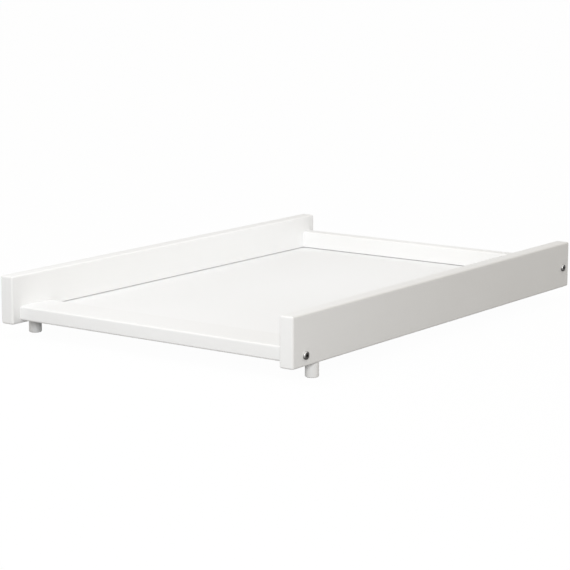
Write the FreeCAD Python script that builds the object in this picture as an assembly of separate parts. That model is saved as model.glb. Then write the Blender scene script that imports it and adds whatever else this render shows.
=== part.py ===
import FreeCAD, Part
import math
import os

# A changing top: an open-fronted tray that lies across a cot, in millimetres.
# X runs from left to right, Y from the open front to the back, and Z up.
# The origin is at the middle of the plan, level with the lower ends of the pegs.

# Side boards
BOARD_LENGTH = 800.0
BOARD_HEIGHT = 75.0
BOARD_THICKNESS = 24.0
OVERALL_WIDTH = 550.0        # over both side boards
EDGE_RADIUS = 3.0            # eased edges of the boards and rails

# Rails between the boards: the front one lies flat, the back one stands on edge
RAIL_THICKNESS = 22.0
RAIL_RISE = 5.0              # underside of the rails above the underside of the boards
FRONT_RAIL_DEPTH = 70.0
FRONT_RAIL_SETBACK = 17.0    # front face behind the boards' front ends
BACK_RAIL_HEIGHT = 43.0
BACK_RAIL_SETBACK = 10.0     # back face in from the boards' back ends

# Base panel and the grooves that hold it on all four sides
PANEL_THICKNESS = 6.0
PANEL_PLAY = 1.0             # groove left open above the panel
TONGUE_PLAY = 0.5            # between the panel's edge and the bottom of the groove
GROOVE_DEPTH = 7.0

# Connector bolts with a low socket head
BOLT_DIAMETER = 6.0
BOLT_CLEARANCE = 0.3         # all round the bolt in the wood
BOLT_PAST_NUT = 8.0          # end of the bolt beyond the axis of its nut
HEAD_RIM = 3.0               # head beyond the shank, all round
HEAD_HEIGHT = 2.8
SOCKET_SIDES = 6
SOCKET_WIDTH = 4.0           # across the flats
SOCKET_FLOOR = 0.8           # metal between the socket and the seat of the head
FRONT_BOLT_INSET = 13.0      # bolt behind the front rail's front face
BACK_BOLT_SHARE = 0.5        # height of the back bolt in the wood above the groove

# Barrel nuts, in cross bores that open where they don't show
NUT_WALL = 2.0               # nut beyond the bolt, all round
NUT_REACH = 28.0             # axis of the nut from the end of the rail
NUT_COVER = 4.0              # rail beyond each end of the nut
NUT_CLEARANCE = 0.1          # all round the nut in its bore
THREAD_CLEARANCE = 0.05      # all round the bolt in the nut
NUT_SLOT_WIDTH = 1.6
NUT_SLOT_DEPTH = 1.5

# Fluted dowels beside the front bolts
DOWEL_DIAMETER = 8.0
DOWEL_REACH = 20.0           # into the rail
DOWEL_CLEARANCE = 0.1        # all round the dowel in its hole
FLUTES = 12
FLUTE_DEPTH = 0.4
HOLE_WALL = 1.5              # wood between neighbouring holes in a board

# Turned locating pegs under the boards' front ends
PEG_DIAMETER = 20.0
PEG_HEIGHT = 22.0
PEG_CHAMFER = 1.5            # lower edge
PEG_FLOOR = 5.0              # wood between the peg's lower end and the hole of its screw

# Headless screws that join the pegs to the boards
SCREW_DIAMETER = 5.0
SCREW_REACH = 26.0           # into the board
SCREW_CLEARANCE = 0.1        # all round the screw

# Drilling and cutting
BORE_SPARE = 3.0             # depth of a bore beyond what lies in it
OVERRUN = 1.0                # cutters beyond the surface that they enter

# Radii of what is turned or drilled
bolt_radius = BOLT_DIAMETER / 2
bolt_hole_radius = bolt_radius + BOLT_CLEARANCE
head_radius = bolt_radius + HEAD_RIM
nut_radius = bolt_radius + NUT_WALL
dowel_radius = DOWEL_DIAMETER / 2
dowel_hole_radius = dowel_radius + DOWEL_CLEARANCE
screw_radius = SCREW_DIAMETER / 2
screw_hole_radius = screw_radius + SCREW_CLEARANCE
peg_radius = PEG_DIAMETER / 2

# Planes of the boards
outer_x = OVERALL_WIDTH / 2
inner_x = outer_x - BOARD_THICKNESS
board_middle_x = outer_x - BOARD_THICKNESS / 2
front_end_y = -BOARD_LENGTH / 2
back_end_y = BOARD_LENGTH / 2
board_bottom_z = PEG_HEIGHT

# Planes of the rails
rail_bottom_z = board_bottom_z + RAIL_RISE
back_rail_top_z = rail_bottom_z + BACK_RAIL_HEIGHT
front_rail_front_y = front_end_y + FRONT_RAIL_SETBACK
front_rail_back_y = front_rail_front_y + FRONT_RAIL_DEPTH
back_rail_back_y = back_end_y - BACK_RAIL_SETBACK
back_rail_front_y = back_rail_back_y - RAIL_THICKNESS

# The grooves run at the middle of the front rail's thickness, at one height all round
groove_height = PANEL_THICKNESS + PANEL_PLAY
groove_bottom_z = rail_bottom_z + (RAIL_THICKNESS - groove_height) / 2
groove_top_z = groove_bottom_z + groove_height
tongue = GROOVE_DEPTH - TONGUE_PLAY
groove_front_y = front_rail_back_y - GROOVE_DEPTH
groove_back_y = back_rail_front_y + GROOVE_DEPTH

# Bolts and nuts
front_bolt_y = front_rail_front_y + FRONT_BOLT_INSET
front_bolt_z = rail_bottom_z + RAIL_THICKNESS / 2
back_bolt_y = back_rail_back_y - RAIL_THICKNESS / 2
back_bolt_z = groove_top_z + (back_rail_top_z - groove_top_z) * BACK_BOLT_SHARE
bolt_length = BOARD_THICKNESS + NUT_REACH + BOLT_PAST_NUT
bolt_bore_depth = NUT_REACH + BOLT_PAST_NUT + BORE_SPARE
nut_x = inner_x - NUT_REACH
nut_length = RAIL_THICKNESS - 2 * NUT_COVER

# The dowel comes next in front of the groove's round end, and the peg screw next to the dowel
dowel_y = groove_front_y - groove_height / 2 - HOLE_WALL - dowel_hole_radius
dowel_in_board = BOARD_THICKNESS / 2
peg_y = dowel_y - dowel_hole_radius - HOLE_WALL - screw_hole_radius
screw_bottom_z = PEG_FLOOR + BORE_SPARE
screw_length = PEG_HEIGHT + SCREW_REACH - screw_bottom_z

LEFT = -1
RIGHT = 1
UP = FreeCAD.Vector(0, 0, 1)
FORWARD = FreeCAD.Vector(0, -1, 0)


def inwards(side):
    """Direction from a side board towards the middle of the tray."""
    return FreeCAD.Vector(-side, 0, 0)


def placed(shape, start, direction):
    """A shape made along Z, turned to a direction and moved to its start."""
    turned = shape.copy()
    turned.Placement = FreeCAD.Placement(start, FreeCAD.Rotation(UP, direction))
    return turned


def block(low, high):
    """A square block between two corners."""
    size = high - low
    return Part.makeBox(size.x, size.y, size.z, low)


def bore(radius, depth, mouth, direction):
    """A cutter for a round hole, which starts just outside its mouth."""
    return placed(Part.makeCylinder(radius, depth + OVERRUN), mouth - direction * OVERRUN, direction)


def revolved(profile):
    """A solid turned about Z from its half profile, given as (radius, height) points."""
    points = [FreeCAD.Vector(radius, 0, height) for radius, height in profile]
    outline = Part.makePolygon(points + points[:1])
    return Part.Face(outline).revolve(FreeCAD.Vector(), UP, 360)


def prism(radii, start_z, height):
    """A prism along Z with its corners spaced evenly round it, each at its own radius."""
    corners = []
    for number, radius in enumerate(radii):
        angle = 2 * math.pi * number / len(radii)
        corners.append(FreeCAD.Vector(radius * math.cos(angle), radius * math.sin(angle), start_z))
    outline = Part.makePolygon(corners + corners[:1])
    return Part.Face(outline).extrude(UP * height)


def runs_along_x(edge):
    """Whether a block's edge runs from left to right."""
    return edge.BoundBox.XLength > edge.BoundBox.DiagonalLength / 2


def board_groove(side):
    """Cutter for a board's stopped groove: a routed slot with round ends."""
    radius = groove_height / 2
    middle_z = groove_bottom_z + radius
    face_x = side * (inner_x - OVERRUN)

    def point(y, z):
        return FreeCAD.Vector(face_x, y, z)

    lower = Part.LineSegment(point(groove_front_y, groove_bottom_z), point(groove_back_y, groove_bottom_z))
    upper = Part.LineSegment(point(groove_back_y, groove_top_z), point(groove_front_y, groove_top_z))
    back = Part.Arc(lower.EndPoint, point(groove_back_y + radius, middle_z), upper.StartPoint)
    front = Part.Arc(upper.EndPoint, point(groove_front_y - radius, middle_z), lower.StartPoint)
    outline = Part.Wire([curve.toShape() for curve in (lower, back, upper, front)])
    return Part.Face(outline).extrude(-inwards(side) * (GROOVE_DEPTH + OVERRUN))


def side_board(side):
    """A long upright board, rounded over on every edge, grooved and drilled."""
    low = FreeCAD.Vector(min(side * inner_x, side * outer_x), front_end_y, board_bottom_z)
    high = low + FreeCAD.Vector(BOARD_THICKNESS, BOARD_LENGTH, BOARD_HEIGHT)
    board = block(low, high)
    board = board.makeFillet(EDGE_RADIUS, board.Edges)
    cutters = [board_groove(side)]
    for y, z in ((front_bolt_y, front_bolt_z), (back_bolt_y, back_bolt_z)):
        mouth = FreeCAD.Vector(side * outer_x, y, z)
        cutters.append(bore(bolt_hole_radius, BOARD_THICKNESS + OVERRUN, mouth, inwards(side)))
    dowel_mouth = FreeCAD.Vector(side * inner_x, dowel_y, front_bolt_z)
    cutters.append(bore(dowel_hole_radius, dowel_in_board, dowel_mouth, -inwards(side)))
    screw_mouth = FreeCAD.Vector(side * board_middle_x, peg_y, board_bottom_z)
    cutters.append(bore(screw_hole_radius, SCREW_REACH + BORE_SPARE, screw_mouth, UP))
    return board.cut(cutters)


def rail_blank(front_y, back_y, height):
    """A plank between the boards with its four long edges eased."""
    low = FreeCAD.Vector(-inner_x, front_y, rail_bottom_z)
    high = FreeCAD.Vector(inner_x, back_y, rail_bottom_z + height)
    plank = block(low, high)
    return plank.makeFillet(EDGE_RADIUS, [edge for edge in plank.Edges if runs_along_x(edge)])


def rail_groove(start_y, end_y):
    """Cutter for a rail's groove, which runs out at both ends."""
    low = FreeCAD.Vector(-inner_x - OVERRUN, start_y, groove_bottom_z)
    high = FreeCAD.Vector(inner_x + OVERRUN, end_y, groove_top_z)
    return block(low, high)


def rail_bolt_cutters(y, z, nut_mouth, nut_direction):
    """Cutters at both ends of a rail: a bore for the bolt and a cross bore for its nut."""
    cutters = []
    for side in (LEFT, RIGHT):
        end = FreeCAD.Vector(side * inner_x, y, z)
        cutters.append(bore(bolt_hole_radius, bolt_bore_depth, end, inwards(side)))
        mouth = FreeCAD.Vector(side * nut_x, nut_mouth.y, nut_mouth.z)
        cutters.append(bore(nut_radius + NUT_CLEARANCE, NUT_COVER + nut_length, mouth, nut_direction))
    return cutters


def front_rail():
    """The flat plank at the front, grooved in its back edge and bored from below for its nuts."""
    plank = rail_blank(front_rail_front_y, front_rail_back_y, RAIL_THICKNESS)
    cutters = [rail_groove(groove_front_y, front_rail_back_y + OVERRUN)]
    nut_mouth = FreeCAD.Vector(0, front_bolt_y, rail_bottom_z)
    cutters += rail_bolt_cutters(front_bolt_y, front_bolt_z, nut_mouth, UP)
    for side in (LEFT, RIGHT):
        end = FreeCAD.Vector(side * inner_x, dowel_y, front_bolt_z)
        cutters.append(bore(dowel_hole_radius, DOWEL_REACH + BORE_SPARE, end, inwards(side)))
    return plank.cut(cutters)


def back_rail():
    """The plank on edge at the back, grooved in its front face and bored from behind for its nuts."""
    plank = rail_blank(back_rail_front_y, back_rail_back_y, BACK_RAIL_HEIGHT)
    cutters = [rail_groove(back_rail_front_y - OVERRUN, groove_back_y)]
    nut_mouth = FreeCAD.Vector(0, back_rail_back_y, back_bolt_z)
    cutters += rail_bolt_cutters(back_bolt_y, back_bolt_z, nut_mouth, FORWARD)
    return plank.cut(cutters)


def base_panel():
    """The thin panel that rests on the lower face of the grooves."""
    low = FreeCAD.Vector(-inner_x - tongue, front_rail_back_y - tongue, groove_bottom_z)
    high = FreeCAD.Vector(inner_x + tongue, back_rail_front_y + tongue, groove_bottom_z + PANEL_THICKNESS)
    return block(low, high)


def connector_bolt():
    """A bolt along Z with the seat of its head at zero and its head below."""
    bolt = revolved([
        (0, -HEAD_HEIGHT),
        (head_radius, -HEAD_HEIGHT),
        (head_radius, 0),
        (bolt_radius, 0),
        (bolt_radius, bolt_length),
        (0, bolt_length),
    ])
    corner_radius = SOCKET_WIDTH / 2 / math.cos(math.pi / SOCKET_SIDES)
    socket_depth = HEAD_HEIGHT - SOCKET_FLOOR
    return bolt.cut(prism([corner_radius] * SOCKET_SIDES, -HEAD_HEIGHT - OVERRUN, socket_depth + OVERRUN))


def barrel_nut():
    """A cross dowel nut along Z with its slotted end at zero and its thread along X."""
    nut = Part.makeCylinder(nut_radius, nut_length)
    thread_start = FreeCAD.Vector(-nut_radius, 0, nut_length / 2)
    thread_along = FreeCAD.Vector(1, 0, 0)
    thread = bore(bolt_radius + THREAD_CLEARANCE, 2 * nut_radius + OVERRUN, thread_start, thread_along)
    slot_low = FreeCAD.Vector(-nut_radius - OVERRUN, -NUT_SLOT_WIDTH / 2, -OVERRUN)
    slot_high = FreeCAD.Vector(nut_radius + OVERRUN, NUT_SLOT_WIDTH / 2, NUT_SLOT_DEPTH)
    return nut.cut([thread, block(slot_low, slot_high)])


def dowel():
    """A fluted wooden dowel along Z; zero is where the board meets the rail."""
    radii = [dowel_radius, dowel_radius - FLUTE_DEPTH] * FLUTES
    return prism(radii, -dowel_in_board, dowel_in_board + DOWEL_REACH)


def peg():
    """A turned peg with its lower end at zero, chamfered there and drilled from above for its screw."""
    return revolved([
        (0, 0),
        (peg_radius - PEG_CHAMFER, 0),
        (peg_radius, PEG_CHAMFER),
        (peg_radius, PEG_HEIGHT),
        (screw_hole_radius, PEG_HEIGHT),
        (screw_hole_radius, PEG_FLOOR),
        (0, PEG_FLOOR),
    ])


def peg_screw():
    """A headless screw that joins a peg, whose lower end is at zero, to the board above it."""
    return Part.makeCylinder(screw_radius, screw_length, UP * screw_bottom_z)


def pieces():
    """Every piece of the tray in its place, by name."""
    made = {"front_rail": front_rail(), "back_rail": back_rail(), "base_panel": base_panel()}
    for side, side_name in ((LEFT, "left"), (RIGHT, "right")):
        made[f"{side_name}_side_board"] = side_board(side)
        front_bolt_seat = FreeCAD.Vector(side * outer_x, front_bolt_y, front_bolt_z)
        back_bolt_seat = FreeCAD.Vector(side * outer_x, back_bolt_y, back_bolt_z)
        made[f"front_{side_name}_bolt"] = placed(connector_bolt(), front_bolt_seat, inwards(side))
        made[f"back_{side_name}_bolt"] = placed(connector_bolt(), back_bolt_seat, inwards(side))
        front_nut_end = FreeCAD.Vector(side * nut_x, front_bolt_y, rail_bottom_z + NUT_COVER)
        back_nut_end = FreeCAD.Vector(side * nut_x, back_rail_back_y - NUT_COVER, back_bolt_z)
        made[f"front_{side_name}_barrel_nut"] = placed(barrel_nut(), front_nut_end, UP)
        made[f"back_{side_name}_barrel_nut"] = placed(barrel_nut(), back_nut_end, FORWARD)
        joint = FreeCAD.Vector(side * inner_x, dowel_y, front_bolt_z)
        made[f"{side_name}_dowel"] = placed(dowel(), joint, inwards(side))
        foot = FreeCAD.Vector(side * board_middle_x, peg_y, 0)
        made[f"front_{side_name}_peg"] = placed(peg(), foot, UP)
        made[f"front_{side_name}_peg_screw"] = placed(peg_screw(), foot, UP)
    return made


os.makedirs("parts", exist_ok=True)
for name, shape in pieces().items():
    shape.exportStep(os.path.join("parts", f"{name}.step"))
    print(f"{name}: {len(shape.Solids)} solid, {shape.Volume:.1f} mm3, valid {shape.isValid()}")
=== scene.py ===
# %% [markdown]
# # Dressing a changing top
#
# The real object is a white tray that is laid across a cot. Two long boards and two rails make its
# frame, a thin panel lies in grooves, bolts pull the frame together, and pegs keep it in its place.
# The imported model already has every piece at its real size, so this lesson reads all places from it
# and spends its effort on eased edges, finishes and light.

# %% Load the frame
import math

import bmesh
import bpy
from mathutils import Matrix, Vector


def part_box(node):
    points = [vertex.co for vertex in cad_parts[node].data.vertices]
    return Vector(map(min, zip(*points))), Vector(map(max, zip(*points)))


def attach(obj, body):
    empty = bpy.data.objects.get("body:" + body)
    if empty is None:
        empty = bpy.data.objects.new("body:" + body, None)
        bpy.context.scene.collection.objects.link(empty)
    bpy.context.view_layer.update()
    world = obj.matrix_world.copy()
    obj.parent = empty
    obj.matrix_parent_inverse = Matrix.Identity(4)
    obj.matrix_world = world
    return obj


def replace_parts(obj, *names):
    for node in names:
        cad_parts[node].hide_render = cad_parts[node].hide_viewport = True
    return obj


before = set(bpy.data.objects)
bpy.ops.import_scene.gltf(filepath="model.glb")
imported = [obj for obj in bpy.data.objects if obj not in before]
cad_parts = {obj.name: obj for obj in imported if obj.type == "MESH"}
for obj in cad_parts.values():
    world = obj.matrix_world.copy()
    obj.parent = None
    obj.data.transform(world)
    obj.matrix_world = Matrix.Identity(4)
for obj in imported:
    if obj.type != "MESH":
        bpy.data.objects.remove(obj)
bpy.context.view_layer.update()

# %% [markdown]
# ## The camera
#
# The photo was taken from the front right with a long lens, a little above the tray. Such a place can
# be found by eye, but long straight edges allow better: their vanishing points give the turn, the dip
# and the lens, and the size of the boards then gives the distance. The roll is tiny, but it must turn
# the camera about its own axis, so it stands last in the product of turns.

# %% Place the camera
IMAGE_SIDE = 570              # pixels
FOCAL_LENGTH = 2013.3         # pixels
SENSOR = 36.0                 # mm
CAMERA_PLACE = (1.8488, -2.6002, 0.6402)
CAMERA_TURN = 35.812          # degrees to the left of straight ahead
CAMERA_DIP = 10.439           # degrees below the horizon
CAMERA_ROLL = 0.090           # degrees about its own axis
LEVEL = 90                    # degrees that lift a new camera from looking straight down
MATRIX_ROWS = 4               # of a matrix that can move as well as turn


def turned(degrees, axis):
    """A turn about one axis."""
    return Matrix.Rotation(math.radians(degrees), MATRIX_ROWS, axis)


camera = bpy.data.objects.new("camera", bpy.data.cameras.new("camera"))
camera.data.sensor_width = SENSOR
camera.data.lens = SENSOR * FOCAL_LENGTH / IMAGE_SIDE
facing = turned(CAMERA_TURN, "Z") @ turned(LEVEL - CAMERA_DIP, "X") @ turned(CAMERA_ROLL, "Z")
camera.matrix_world = Matrix.Translation(CAMERA_PLACE) @ facing
bpy.context.scene.collection.objects.link(camera)
bpy.context.scene.camera = camera
print("lens", round(camera.data.lens, 1), "mm")

# %% [markdown]
# ## Writing finishes as sums
#
# A finish is a small network of nodes. Drawn by hand it is a picture, and written call by call it is
# long. Here one class stands for a number that varies over a surface, and its operators add the Math
# nodes, so that a finish reads like the sum that it is.


# %% A value with its operators
class Value:
    """A socket whose number varies over a surface. Operators on it add Math nodes."""

    def __init__(self, finish, socket):
        self.finish = finish
        self.socket = socket

    def maths(self, operation, first, second):
        """Adds a Math node on two values, either of which may be a plain number."""
        return self.finish.node("ShaderNodeMath", {"operation": operation}, {0: first, 1: second})["Value"]

    def __add__(self, other):
        return self.maths("ADD", self, other)

    def __sub__(self, other):
        return self.maths("SUBTRACT", self, other)

    def __rsub__(self, other):
        return self.maths("SUBTRACT", other, self)

    def __mul__(self, other):
        return self.maths("MULTIPLY", self, other)

    __radd__ = __add__
    __rmul__ = __mul__


print(Value.__name__, "adds Math nodes")

# %% A finish, and the method that adds any node
NOISE_DETAIL = 2.0            # layers of ever finer noise


class Finish:
    """A tree of nodes, of a material or of the world, with short calls to build it."""

    def __init__(self, owner):
        self.owner = owner
        owner.use_nodes = True
        self.tree = owner.node_tree

    def socket(self, sockets, key):
        """A socket by its place or, among those in use, by its name."""
        if isinstance(key, int):
            return sockets[key]
        return next(socket for socket in sockets if socket.enabled and socket.name == key)

    def feed(self, node, values):
        """Links a node's inputs to values, or sets them to plain numbers and colours."""
        for key, value in values.items():
            target = self.socket(node.inputs, key)
            if isinstance(value, Value):
                self.tree.links.new(value.socket, target)
            else:
                target.default_value = value

    def node(self, kind, settings, values):
        """Adds a node, sets it up, feeds it, and returns its outputs by name."""
        made = self.tree.nodes.new(kind)
        for key, setting in settings.items():
            setattr(made, key, setting)
        self.feed(made, values)
        return {output.name: Value(self, output) for output in made.outputs if output.enabled}

    def place(self, stretch=(1, 1, 1)):
        """Where a point lies on the tray, in metres, with each axis stretched by its own number."""
        point = self.node("ShaderNodeTexCoord", {}, {})["Object"]
        return self.node("ShaderNodeMapping", {}, {"Vector": point, "Scale": stretch})["Vector"]

    def noise(self, place, per_metre=1.0, detail=NOISE_DETAIL):
        """Soft noise from 0 to 1 with so many bumps to the metre of a place, stretched or not."""
        values = {"Vector": place, "Scale": per_metre, "Detail": detail}
        return self.node("ShaderNodeTexNoise", {}, values)["Fac"]

    def attribute(self, name, output):
        """What a piece's own mesh says at a point."""
        return self.node("ShaderNodeAttribute", {"attribute_name": name}, {})[output]

    def blend(self, factor, first, second):
        """A colour between two colours, either of which may vary."""
        ends = [end if isinstance(end, Value) else (*end, 1) for end in (first, second)]
        values = {"Factor": factor, "A": ends[0], "B": ends[1]}
        return self.node("ShaderNodeMix", {"data_type": "RGBA"}, values)["Result"]

    def bump(self, height, depth):
        """A normal that is tilted by a height from 0 to 1, which is so many metres deep."""
        return self.node("ShaderNodeBump", {}, {"Height": height, "Distance": depth})["Normal"]

    def seen(self):
        """1 for the eye, for reflections and for glass, and 0 for light that bounces about."""
        path = self.node("ShaderNodeLightPath", {}, {})
        return path["Is Camera Ray"] + path["Is Glossy Ray"] + path["Is Transmission Ray"]

    def surface(self, **values):
        """Feeds the material's own shader, with the spaces of its socket names left out."""
        shader = self.tree.nodes["Principled BSDF"]
        names = {socket.name.replace(" ", ""): socket.name for socket in shader.inputs}
        self.feed(shader, {names[key]: value for key, value in values.items()})
        return self.owner


def new_finish(name):
    """An empty finish for a new material."""
    return Finish(bpy.data.materials.new(name))


print(Finish.__name__, "adds any other node")

# %% [markdown]
# ## White lacquer
#
# The boards and rails are sprayed with a satin white lacquer. From a step away it is one white, but a
# surface of one flat value looks like paper, so four small things vary: the white drifts a little from
# place to place, the wood below shows as faint long streaks, the spray leaves a fine orange peel, and
# the film is thinner and a little warmer on the eased edges. The mesh marks those edges as `rim`.

# %% Make the lacquer
LACQUER_WHITE = (0.870, 0.869, 0.860)
LACQUER_SHADE = (0.840, 0.837, 0.824)
LACQUER_RIM = (0.850, 0.840, 0.818)
LACQUER_ROUGHNESS = 0.40      # of an even film
LACQUER_SHINE = 0.2           # specular level
GRAIN_FINE = 420.0            # streaks to the metre across the grain
GRAIN_LONG = 9.0              # and along it
GRAIN_DETAIL = 4.0
TURNING_FINE = 1260.0         # rings to the metre along a turned peg
DRIFT = 7.0                   # soft patches to the metre
WEAR = 60.0                   # worn patches to the metre of a rim
PEEL = 750.0                  # dimples of the spray to the metre
FILM_DEPTH = 0.00006
DRIFT_SHARE = 0.55            # of the way from white to shade
GRAIN_SHARE = 0.35
RIM_SHARE = 0.6               # of the way to the rim's white
PEEL_SHARE = 0.7              # of the film's depth, and the rest is grain
DRIFT_DULLING = 0.10          # roughness that the drift adds
GRAIN_DULLING = 0.06
WEAR_POLISH = 0.08            # roughness that wear takes away


def lacquer(name, stretch):
    """Satin white lacquer over wood whose grain runs along one axis."""
    finish = new_finish(name)
    place = finish.place()
    drift = finish.noise(place, DRIFT)
    grain = finish.noise(finish.place(stretch), detail=GRAIN_DETAIL)
    peel = finish.noise(place, PEEL)
    wear = finish.attribute("rim", "Fac") * finish.noise(place, WEAR)
    even = finish.blend(drift * DRIFT_SHARE + grain * GRAIN_SHARE, LACQUER_WHITE, LACQUER_SHADE)
    return finish.surface(
        BaseColor=finish.blend(wear * RIM_SHARE, even, LACQUER_RIM),
        Roughness=LACQUER_ROUGHNESS + drift * DRIFT_DULLING + grain * GRAIN_DULLING - wear * WEAR_POLISH,
        SpecularIORLevel=LACQUER_SHINE,
        Normal=finish.bump(peel * PEEL_SHARE + grain * (1 - PEEL_SHARE), FILM_DEPTH))


board_lacquer = lacquer("board_lacquer", (GRAIN_FINE, GRAIN_LONG, GRAIN_FINE))
rail_lacquer = lacquer("rail_lacquer", (GRAIN_LONG, GRAIN_FINE, GRAIN_FINE))
peg_lacquer = lacquer("peg_lacquer", (GRAIN_LONG, GRAIN_LONG, TURNING_FINE))
print("lacquers", [made.name for made in (board_lacquer, rail_lacquer, peg_lacquer)])

# %% [markdown]
# ## The panel's face, and raw fibreboard
#
# The panel is thin fibreboard with a hard white face. Pressing leaves that face smoother than the
# lacquer, with a fine stipple. Its sawn edges and the bores in the rails are left raw and brown.

# %% Make the panel's face
FACE_WHITE = (0.876, 0.876, 0.868)
FACE_SHADE = (0.850, 0.850, 0.841)
FACE_ROUGHNESS = 0.36
FACE_DRIFT = 3.5              # soft patches to the metre
FACE_DRIFT_SHARE = 0.7        # of the way from white to shade
FACE_DRIFT_DULLING = 0.08
STIPPLE = 1100.0              # dimples to the metre
STIPPLE_DETAIL = 1.0
STIPPLE_SHARE = 0.2
STIPPLE_DULLING = 0.05
STIPPLE_DEPTH = 0.00004


def panel_face():
    """Hard white face with a fine pressed stipple."""
    finish = new_finish("panel_face")
    place = finish.place()
    drift = finish.noise(place, FACE_DRIFT)
    stipple = finish.noise(place, STIPPLE, STIPPLE_DETAIL)
    shade = drift * FACE_DRIFT_SHARE + stipple * STIPPLE_SHARE
    return finish.surface(
        BaseColor=finish.blend(shade, FACE_WHITE, FACE_SHADE),
        Roughness=FACE_ROUGHNESS + drift * FACE_DRIFT_DULLING + stipple * STIPPLE_DULLING,
        Normal=finish.bump(stipple, STIPPLE_DEPTH))


face_white = panel_face()
print("face", face_white.name)

# %% Make the raw fibreboard
RAW_PALE = (0.46, 0.31, 0.18)
RAW_DARK = (0.30, 0.19, 0.10)
RAW_ROUGHNESS = 0.78
FIBRES = 900.0                # to the metre
FIBRE_DETAIL = 5.0
FIBRE_DULLING = 0.15
FIBRE_DEPTH = 0.00012


def raw_fibreboard():
    """Sawn or bored fibreboard."""
    finish = new_finish("raw_fibreboard")
    fibres = finish.noise(finish.place(), FIBRES, FIBRE_DETAIL)
    return finish.surface(
        BaseColor=finish.blend(fibres, RAW_DARK, RAW_PALE),
        Roughness=RAW_ROUGHNESS + fibres * FIBRE_DULLING,
        Normal=finish.bump(fibres, FIBRE_DEPTH))


raw = raw_fibreboard()
print("edges and bores", raw.name)

# %% [markdown]
# ## Metals and beech
#
# The bolt heads are plated in a dark nickel and were turned on a lathe, so their faces carry rings
# about each bolt's own axis. A pattern on the tray's axes can't know where each bolt is, so the bolt's
# mesh keeps its own place, and the rings are noise along the distance from its axis. The upper front of
# each rim carries a painted highlight: the plate's colour is made pale there, where a lamp's reflection
# would fall. The nuts and the peg screws are zinc plated, which is brighter and clouded. The dowels are
# plain beech, with short dark flecks along their length.

# %% Make the dark nickel
NICKEL_DARK = (0.046, 0.043, 0.041)
NICKEL_PALE = (0.082, 0.078, 0.074)
# pale plate colour that paints a highlight on the marked part of each rim
NICKEL_PAINTED_HIGHLIGHT = (0.88, 0.87, 0.85)
NICKEL_ROUGHNESS = 0.16
RINGS = 4200.0                # lathe marks to the metre
RING_DETAIL = 3.0
RING_SHARE = 0.5              # of the way from dark to pale, and the rest is cloud
RING_DULLING = 0.10
RING_DEPTH = 0.00001
CLOUDS = 420.0                # to the metre
CLOUD_DULLING = 0.06


def dark_nickel():
    """Dark nickel plate over turned steel, with a painted highlight where the rim is marked."""
    finish = new_finish("dark_nickel")
    own = finish.attribute("own_place", "Vector")
    across_axis = {0: own, 1: (1, 1, 0)}
    flat = finish.node("ShaderNodeVectorMath", {"operation": "MULTIPLY"}, across_axis)["Vector"]
    radius = finish.node("ShaderNodeVectorMath", {"operation": "LENGTH"}, {0: flat})["Value"]
    along_radius = {"W": radius, "Scale": RINGS, "Detail": RING_DETAIL}
    rings = finish.node("ShaderNodeTexNoise", {"noise_dimensions": "1D"}, along_radius)["Fac"]
    cloud = finish.noise(own, CLOUDS)
    shade = rings * RING_SHARE + cloud * (1 - RING_SHARE)
    plate = finish.blend(shade, NICKEL_DARK, NICKEL_PALE)
    # The rim mark blends in a pale colour: a painted highlight in place of a lamp's reflection.
    return finish.surface(
        BaseColor=finish.blend(finish.attribute("rim", "Fac"), plate, NICKEL_PAINTED_HIGHLIGHT),
        Metallic=1.0,
        Roughness=NICKEL_ROUGHNESS + rings * RING_DULLING + cloud * CLOUD_DULLING,
        Normal=finish.bump(rings, RING_DEPTH))


nickel = dark_nickel()
print("bolts", nickel.name)

# %% Make the bright zinc
ZINC_PALE = (0.66, 0.67, 0.69)
ZINC_DARK = (0.50, 0.52, 0.55)
ZINC_ROUGHNESS = 0.26
SPANGLE = 420.0               # crystals to the metre
SPANGLE_DULLING = 0.16
PORES = 1680.0                # to the metre
PORE_DEPTH = 0.00001


def bright_zinc():
    """Bright zinc plate with its clouded spangle."""
    finish = new_finish("bright_zinc")
    place = finish.place()
    spangle = finish.node("ShaderNodeTexVoronoi", {}, {"Vector": place, "Scale": SPANGLE})["Color"]
    grey = finish.node("ShaderNodeRGBToBW", {}, {"Color": spangle})["Val"]
    return finish.surface(
        BaseColor=finish.blend(grey, ZINC_DARK, ZINC_PALE),
        Metallic=1.0,
        Roughness=ZINC_ROUGHNESS + grey * SPANGLE_DULLING,
        Normal=finish.bump(finish.noise(place, PORES), PORE_DEPTH))


zinc = bright_zinc()
print("nuts and screws", zinc.name)

# %% Make the beech
BEECH_PALE = (0.66, 0.48, 0.31)
BEECH_DARK = (0.46, 0.29, 0.16)
BEECH_ROUGHNESS = 0.62
FLECK_FINE = 2200.0           # flecks to the metre across the grain
FLECK_LONG = 160.0            # and along it
FLECK_DETAIL = 3.0
FLECK_SHARE = 0.7             # of the way from dark to pale
FLECK_DULLING = 0.15
FLECK_DEPTH = 0.00006
BAND_FINE = 420.0             # bands to the metre across the grain
BAND_LONG = 7.0               # and along it
BAND_SHARE = 0.5
DEEPENING_SHARE = 0.1         # back from pale to dark, all over


def beech():
    """Plain beech with its flecks along X."""
    finish = new_finish("beech")
    flecks = finish.noise(finish.place((FLECK_LONG, FLECK_FINE, FLECK_FINE)), detail=FLECK_DETAIL)
    bands = finish.noise(finish.place((BAND_LONG, BAND_FINE, BAND_FINE)))
    shade = flecks * FLECK_SHARE + bands * BAND_SHARE - DEEPENING_SHARE
    return finish.surface(
        BaseColor=finish.blend(shade, BEECH_DARK, BEECH_PALE),
        Roughness=BEECH_ROUGHNESS + flecks * FLECK_DULLING,
        Normal=finish.bump(flecks, FLECK_DEPTH))


beech_wood = beech()
print("dowels", beech_wood.name)

# %% [markdown]
# ## Blocks with eased edges
#
# No real board has a knife edge. A bevel modifier could round them by angle or by weight, but it tells
# nobody which faces are new. The bmesh operator rounds the edges that are named, and it returns the
# faces that it made, which is how the lacquer learns where the rims are.

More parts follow.
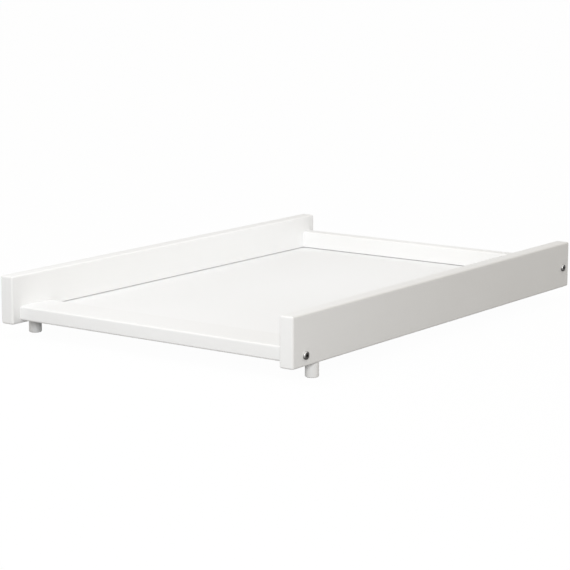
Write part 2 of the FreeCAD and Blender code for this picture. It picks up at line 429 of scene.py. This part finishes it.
# %% Start a block, ease its edges, pull its faces
RIM_STEPS = 6                 # faces round an eased edge
CHAMFER_STEPS = 1             # a single flat face instead
X, Y, Z = Vector((1, 0, 0)), Vector((0, 1, 0)), Vector((0, 0, 1))
STAY = Vector((0, 0, 0))


def new_shape():
    """An empty shape that can mark its eased edges."""
    shape = bmesh.new()
    shape.loops.layers.float.new("rim")
    return shape


def block(low, high):
    """A block between two corners."""
    shape = new_shape()
    bmesh.ops.create_cube(shape, size=1)
    bmesh.ops.scale(shape, vec=high - low, verts=shape.verts)
    bmesh.ops.translate(shape, vec=(low + high) / 2, verts=shape.verts)
    return shape


def ease(shape, edges, radius, steps=RIM_STEPS):
    """Rounds edges over, and marks the new faces as rims."""
    made = bmesh.ops.bevel(shape, geom=edges, offset=radius, offset_type="OFFSET", affect="EDGES",
                           segments=steps, profile=0.5, material=-1, clamp_overlap=True)
    rim = shape.loops.layers.float["rim"]
    for face in made["faces"]:
        for loop in face.loops:
            loop[rim] = 1


def whole(face):
    """A face with its edges and points."""
    return [face, *face.edges, *face.verts]


def pull(shape, face, way, keep=False):
    """Extrudes a whole face, so that it leaves no lid unless told to, and returns the new face."""
    made = bmesh.ops.extrude_face_region(shape, geom=whole(face), use_keep_orig=keep)["geom"]
    moved = next(part for part in made if isinstance(part, bmesh.types.BMFace))
    bmesh.ops.translate(shape, vec=way, verts=moved.verts)
    return moved


print("eased edges turn in", RIM_STEPS, "steps")

# %% Make a shape a piece
SHARP = math.radians(35)      # edges that turn by more stay sharp


def piece(name, shape, finishes, node):
    """Makes a shape a piece that rides with the tray and stands for a CAD node."""
    bmesh.ops.recalc_face_normals(shape, faces=shape.faces)
    open_edges = sum(not edge.is_manifold for edge in shape.edges)
    mesh = bpy.data.meshes.new(name)
    shape.to_mesh(mesh)
    shape.free()
    for finish in finishes:
        mesh.materials.append(finish)
    mesh.shade_smooth()
    mesh.set_sharp_from_angle(angle=SHARP)
    made = bpy.data.objects.new(name, mesh)
    bpy.context.scene.collection.objects.link(made)
    made.modifiers.new("even_shading", "WEIGHTED_NORMAL").keep_sharp = True
    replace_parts(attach(made, "root"), node)
    print(name, len(mesh.polygons), "faces,", open_edges, "open edges")


print("edges stay sharp past", round(math.degrees(SHARP)), "degrees")

# %% [markdown]
# ## Cutting into a flat face
#
# A groove or a hole starts in one flat face. Two things do it without a boolean: straight lines are
# scribed across the face until a rectangle stands round the place, and that rectangle is then pushed
# in. For a round hole the sides of a square are divided, the square is extruded without moving it, the
# points of the new face are set on a circle, and that face is pushed in. An inset looks like a shorter
# way, but near the corners its points overtake each other and the ring folds over.

# %% Scribe, rout and drill
FLAT = 1e-5                   # difference, in metres or in a unit direction, that counts as none
HOLE_CUTS = 11                # points added to each side of the square round a hole
HOLE_BORDER_SHARE = 1.5       # half side of that square, of the hole's radius
RAW_FACE = 1                  # place of the raw finish among a piece's finishes


def face_at(shape, point, out):
    """The flat face that looks along out and holds a point."""
    shape.normal_update()
    for face in shape.faces:
        level = abs((face.verts[0].co - point).dot(out)) < FLAT
        looking = face.normal.dot(out) > 1 - FLAT
        if level and looking and bmesh.geometry.intersect_face_point(face, point):
            return face


def scribe(shape, point, out, lines):
    """Cuts the face at a point along straight lines, and returns what is left round the point."""
    for place, across in lines:
        face = face_at(shape, point, out)
        bmesh.ops.bisect_plane(shape, geom=whole(face), plane_co=place, plane_no=across)
    return face_at(shape, point, out)


def rout(shape, low, high, out, depth):
    """Routs a stopped groove, whose mouth is a rectangle between two corners, into a flat face."""
    sides = [axis for axis in (X, Y, Z) if abs(axis.dot(out)) < FLAT]
    lines = [(corner, side) for corner in (low, high) for side in sides]
    pull(shape, scribe(shape, (low + high) / 2, out, lines), -out * depth)


def drill(shape, mouth, out, radius, depth):
    """Drills a round blind hole into a flat face along X, and leaves it raw inside."""
    reach = radius * HOLE_BORDER_SHARE
    lines = [(mouth + side * reach, side) for side in (X, -X, out.cross(X), -out.cross(X))]
    square = scribe(shape, mouth, out, lines)
    bmesh.ops.subdivide_edges(shape, edges=list(square.edges), cuts=HOLE_CUTS)
    disc = pull(shape, face_at(shape, mouth, out), STAY)
    for vert in disc.verts:
        vert.co = mouth + (vert.co - mouth).normalized() * radius
    for vert in pull(shape, disc, -out * depth).verts:
        for face in vert.link_faces:
            face.material_index = RAW_FACE


print("holes have", HOLE_CUTS + 1, "sides to each side of their squares")

# %% [markdown]
# ## The side boards
#
# Each long board is rounded over on every edge and has one stopped groove for the panel. The groove is
# a little higher than the panel, and that play is the fine dark line along the panel in the photo.

# %% Make the boards
EDGE_RADIUS = 0.003
PANEL_PLAY = 0.001            # groove left open above the panel
TONGUE_PLAY = 0.0005          # between the panel's edge and the bottom of the groove

panel_low, panel_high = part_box("base_panel")
groove_top = panel_high.z + PANEL_PLAY


def side_board(side, out):
    """A long board with its groove; out points from the groove to the middle of the tray."""
    low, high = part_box(f"{side}_side_board")
    inner_x = high.x if out.x > 0 else low.x
    depth = min(abs(panel_low.x - inner_x), abs(panel_high.x - inner_x)) + TONGUE_PLAY
    shape = block(low, high)
    ease(shape, shape.edges[:], EDGE_RADIUS)
    start = Vector((inner_x, panel_low.y - TONGUE_PLAY, panel_low.z))
    end = Vector((inner_x, panel_high.y + TONGUE_PLAY, groove_top))
    rout(shape, start, end, out, depth)
    piece(f"{side}_board_lacquered", shape, [board_lacquer], f"{side}_side_board")


side_board("left", X)
side_board("right", -X)

# %% [markdown]
# ## The rails
#
# A rail's groove runs out at both ends, so a rail is an outline drawn along: eight points make the
# section, it is extruded from board to board, and the four outer edges are eased. The front rail lies
# flat with its groove behind, and the back rail stands on edge with its groove in front. Each has two
# bores for its barrel nuts, from below and from behind, where they don't show.

# %% Make the rails
NUT_CLEARANCE = 0.0001


def at_corner(edge, low, high):
    """Whether an edge is one of the four long outer edges of a box."""
    first, second = (vert.co for vert in edge.verts)
    long = abs(first.x - second.x) > FLAT
    to_sides = zip((first - low).yz, (high - first).yz)
    return long and all(min(gaps) < FLAT for gaps in to_sides)


def rail_blank(low, high, groove_out):
    """A rail with its groove, from board to board."""
    face_y, far_y = (high.y, low.y) if groove_out.y > 0 else (low.y, high.y)
    bottom_y = panel_low.y - TONGUE_PLAY if groove_out.y > 0 else panel_high.y + TONGUE_PLAY
    section = [(far_y, low.z), (face_y, low.z), (face_y, panel_low.z), (bottom_y, panel_low.z),
               (bottom_y, groove_top), (face_y, groove_top), (face_y, high.z), (far_y, high.z)]
    shape = new_shape()
    end = shape.faces.new([shape.verts.new((low.x, y, z)) for y, z in section])
    pull(shape, end, X * (high.x - low.x), keep=True)
    bmesh.ops.recalc_face_normals(shape, faces=shape.faces)
    ease(shape, [edge for edge in shape.edges if at_corner(edge, low, high)], EDGE_RADIUS)
    return shape


def rail(end, groove_out, nut_out):
    """A rail with its nut bores; nut_out points out of their mouths."""
    node = f"{end}_rail"
    low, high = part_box(node)
    shape = rail_blank(low, high, groove_out)
    for side in ("left", "right"):
        nut_low, nut_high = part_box(f"{end}_{side}_barrel_nut")
        mouth = (nut_low + nut_high) / 2
        radius = (nut_high.x - nut_low.x) / 2 + NUT_CLEARANCE
        if nut_out == Y:
            mouth.y = high.y
            depth = high.y - nut_low.y
        else:
            mouth.z = low.z
            depth = nut_high.z - low.z
        drill(shape, mouth, nut_out, radius, depth)
    piece(f"{end}_rail_lacquered", shape, [rail_lacquer, raw], node)


rail("front", Y, -Z)
rail("back", -Y, Y)

# %% [markdown]
# ## The panel
#
# The panel is one thin sheet. Its arrises are barely broken, and only its two faces are white.

# %% Make the panel
ARRIS = 0.0004
ARRIS_STEPS = 2

panel = block(panel_low, panel_high)
ease(panel, panel.edges[:], ARRIS, ARRIS_STEPS)
panel.normal_update()
for face in panel.faces:
    if abs(face.normal.z) < math.cos(SHARP):
        face.material_index = RAW_FACE
piece("base_panel_faced", panel, [face_white, raw], "base_panel")

# %% [markdown]
# ## The bolts
#
# A connector bolt has a low round head with a hex socket. A disc is eased round its rim, its face is
# extruded without moving it, the points of the new face are set on a hexagon, and that face is pulled
# in. The shank grows out of the disc's other face in the same way. Every bolt is made on the Z axis,
# remembers its own place there for the lathe rings, and is then turned to its side of the tray.
# Extruded sides copy the marks of the faces beside them, so the rim's painted highlight is marked last: by
# its distance from the axis, and by how far it looks up and to the front.

# %% Shape a bolt
BOLT_SIDES = 48
HEAD_RIM = 0.0011             # rounding of the head's rim
SOCKET_WIDTH = 0.004          # across the flats
SOCKET_DEPTH = 0.002
SOCKET_FLATS = 6
SOCKET_SECTOR = math.tau / SOCKET_FLATS
SHANK_RADIUS = 0.003
TIP_CHAMFER = 0.001


def drum(sides, radius, height, middle):
    """A round block about an upright axis."""
    shape = new_shape()
    bmesh.ops.create_cone(shape, cap_ends=True, segments=sides, radius1=radius, radius2=radius,
                          depth=height, matrix=Matrix.Translation(middle))
    return shape


def end_face(shape, out):
    """The face furthest along a direction."""
    return max(shape.faces, key=lambda face: face.calc_center_median().dot(out))


def open_socket(shape):
    """Sinks a hex socket into the head's face."""
    mouth = pull(shape, end_face(shape, Z), STAY)
    for vert in mouth.verts:
        angle = math.atan2(vert.co.y, vert.co.x) % SOCKET_SECTOR
        vert.co.xy = vert.co.xy.normalized() * SOCKET_WIDTH / 2 / math.cos(angle - SOCKET_SECTOR / 2)
    pull(shape, mouth, -Z * SOCKET_DEPTH)


def bolt_on_axis(head_radius, head_height, shank_length):
    """A bolt on the Z axis with the seat of its head at zero."""
    shape = drum(BOLT_SIDES, head_radius, head_height, Z * head_height / 2)
    ease(shape, list(end_face(shape, Z).edges), HEAD_RIM)
    open_socket(shape)
    neck = pull(shape, end_face(shape, -Z), STAY)
    for vert in neck.verts:
        vert.co.xy *= SHANK_RADIUS / head_radius
    tip = pull(shape, neck, -Z * shank_length)
    ease(shape, list(tip.edges), TIP_CHAMFER, CHAMFER_STEPS)
    own_place = shape.verts.layers.float_vector.new("own_place")
    for vert in shape.verts:
        vert[own_place] = vert.co
    return shape


print("bolts have", BOLT_SIDES, "sides")

# %% Place the bolts
PAINTED_HIGHLIGHT_SIDE = (Z - Y).normalized().yz  # from a bolt's axis to the middle of the painted highlight
PAINTED_HIGHLIGHT_FADE = 2                  # how fast the painted highlight fades to both sides


def paint_highlight(shape, middle, head_radius):
    """Marks the head's rim for a painted highlight on its upper front side, and nothing else."""
    rim = shape.loops.layers.float["rim"]
    for face in shape.faces:
        on_rim = (face.calc_center_median() - middle).yz.length > head_radius - HEAD_RIM
        for loop in face.loops:
            away = (loop.vert.co - middle).yz.normalized()
            loop[rim] = on_rim * max(0, away.dot(PAINTED_HIGHLIGHT_SIDE)) ** PAINTED_HIGHLIGHT_FADE


def bolt(name, board, out):
    """A connector bolt through a board, with its head looking along out."""
    low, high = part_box(name)
    board_low, board_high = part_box(board)
    seat_x, face_x = (board_high.x, high.x) if out.x > 0 else (board_low.x, low.x)
    head_height = abs(face_x - seat_x)
    head_radius = (high.z - low.z) / 2
    middle = Vector((seat_x, (low.y + high.y) / 2, (low.z + high.z) / 2))
    shape = bolt_on_axis(head_radius, head_height, high.x - low.x - head_height)
    bmesh.ops.rotate(shape, matrix=Z.rotation_difference(out).to_matrix(), verts=shape.verts)
    bmesh.ops.translate(shape, vec=middle, verts=shape.verts)
    # Paints the highlight onto the upper front of the head's rim.
    paint_highlight(shape, middle, head_radius)
    piece(f"{name}_plated", shape, [nickel], name)


for end in ("front", "back"):
    bolt(f"{end}_left_bolt", "left_side_board", -X)
    bolt(f"{end}_right_bolt", "right_side_board", X)

# %% [markdown]
# ## The pegs
#
# The two pegs under the boards' front ends are turned and lacquered like the rest. Their lower edges
# are soft, so that they slip into place, and their upper ones stay crisp against the boards. So each
# peg is a drum whose two rims are eased by different amounts.

# %% Make the pegs
PEG_SIDES = 72
PEG_LOWER_RIM = 0.002
PEG_UPPER_RIM = 0.0003


def peg(name):
    """A turned peg with a soft lower edge."""
    low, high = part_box(name)
    shape = drum(PEG_SIDES, (high.x - low.x) / 2, high.z - low.z, (low + high) / 2)
    ease(shape, list(end_face(shape, -Z).edges), PEG_LOWER_RIM)
    ease(shape, list(end_face(shape, Z).edges), PEG_UPPER_RIM, CHAMFER_STEPS)
    piece(f"{name}_turned", shape, [peg_lacquer], name)


for side in ("left", "right"):
    peg(f"front_{side}_peg")

# %% [markdown]
# ## What stays as it is
#
# The barrel nuts, the peg screws and the dowels already have the right shape, so they keep it and only
# change their finish.

# %% Finish the pieces that stay
KEPT_FINISHES = {"barrel_nut": zinc, "peg_screw": zinc, "dowel": beech_wood}

for name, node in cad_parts.items():
    for ending, finish in KEPT_FINISHES.items():
        if name.endswith(ending):
            node.data.materials.clear()
            node.data.materials.append(finish)
print("kept", sum(name.endswith(tuple(KEPT_FINISHES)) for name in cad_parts), "nodes")

# %% [markdown]
# ## Floor, sky and lamps
#
# The photo has a pure white ground and soft light. The eye and reflections see a white world and a
# white floor, but less light than that falls on the tray, so that white lacquer stays below white. The
# sky's fill is a little warm and the three lamps are cool, so what lies in shade is warm, as in the
# photo. Two lamps at the front light the ends, the front rail and the near half. The third hangs over
# the right half of the tray and looks left: it brightens the well and the left board's inner face, and
# leaves the right board's outer face in shade. The floor takes a faint shadow, and from below it is
# clear, so that the underside can be looked at.

# %% Lay the floor
FLOOR_SIZE = 60.0
FLOOR_GAP = 0.0002            # below the pegs
FLOOR_GLOW_SHARE = 0.975      # of the floor's white that no shadow reaches
FLOOR_BOUNCE = (0.40, 0.40, 0.40)
WHITE = (1, 1, 1)


def floor_finish():
    """White to the eye and to reflections, grey to the light that bounces, and clear from below."""
    finish = new_finish("floor")
    seen = finish.seen()
    colour = finish.blend(seen, FLOOR_BOUNCE, WHITE)
    dull = finish.node("ShaderNodeBsdfDiffuse", {}, {"Color": colour})["BSDF"]
    glow = finish.node("ShaderNodeEmission", {}, {"Color": (*WHITE, 1)})["Emission"]
    top = finish.node("ShaderNodeMixShader", {}, {0: seen * FLOOR_GLOW_SHARE, 1: dull, 2: glow})["Shader"]
    clear = finish.node("ShaderNodeBsdfTransparent", {}, {})["BSDF"]
    below = finish.node("ShaderNodeNewGeometry", {}, {})["Backfacing"]
    both = finish.node("ShaderNodeMixShader", {}, {0: below, 1: top, 2: clear})["Shader"]
    finish.feed(finish.tree.nodes["Material Output"], {"Surface": both})
    return finish.owner


ground = bmesh.new()
bmesh.ops.create_grid(ground, size=FLOOR_SIZE / 2, matrix=Matrix.Translation(Z * -FLOOR_GAP))
floor = bpy.data.objects.new("floor", bpy.data.meshes.new("floor"))
ground.to_mesh(floor.data)
ground.free()
floor.data.materials.append(floor_finish())
bpy.context.scene.collection.objects.link(floor)
print("floor", FLOOR_SIZE, "m wide")

# %% Light the tray
SKY_FILL = (0.640, 0.612, 0.572)
PALE_COOL = (0.95, 0.97, 1.0)
COOL = (0.87, 0.92, 1.0)

# Places and sizes are in metres, and power is in watts.
FRONT_LAMP = {"place": (1.40, -2.30, 0.85), "aim": (0, 0, 0.05), "size": 0.6, "power": 26.5}
NEAR_LAMP = {"place": (-0.15, -0.75, 0.80), "aim": (0, 0, 0), "size": 0.4, "power": 2.75}
WELL_LAMP = {"place": (0.22, 0.25, 0.60), "aim": (-0.75, 0.25, 0.40), "size": 0.3, "power": 1.6}


def lamp(name, colour, place, aim, size, power):
    """A square soft lamp that looks at a point and isn't seen itself."""
    made = bpy.data.objects.new(name, bpy.data.lights.new(name, "AREA"))
    made.data.size = size
    made.data.energy = power
    made.data.color = colour
    made.location = place
    made.rotation_euler = (Vector(aim) - Vector(place)).to_track_quat("-Z", "Y").to_euler()
    made.visible_camera = False
    bpy.context.scene.collection.objects.link(made)


sky = Finish(bpy.data.worlds.new("sky"))
sky.feed(sky.tree.nodes["Background"], {"Color": sky.blend(sky.seen(), SKY_FILL, WHITE), "Strength": 1})
bpy.context.scene.world = sky.owner

lamp("front_lamp", PALE_COOL, **FRONT_LAMP)
lamp("near_lamp", COOL, **NEAR_LAMP)
lamp("well_lamp", COOL, **WELL_LAMP)
bpy.context.scene.view_settings.view_transform = "Standard"
print("light from", sky.owner.name, "and", len(bpy.data.lights), "lamps")
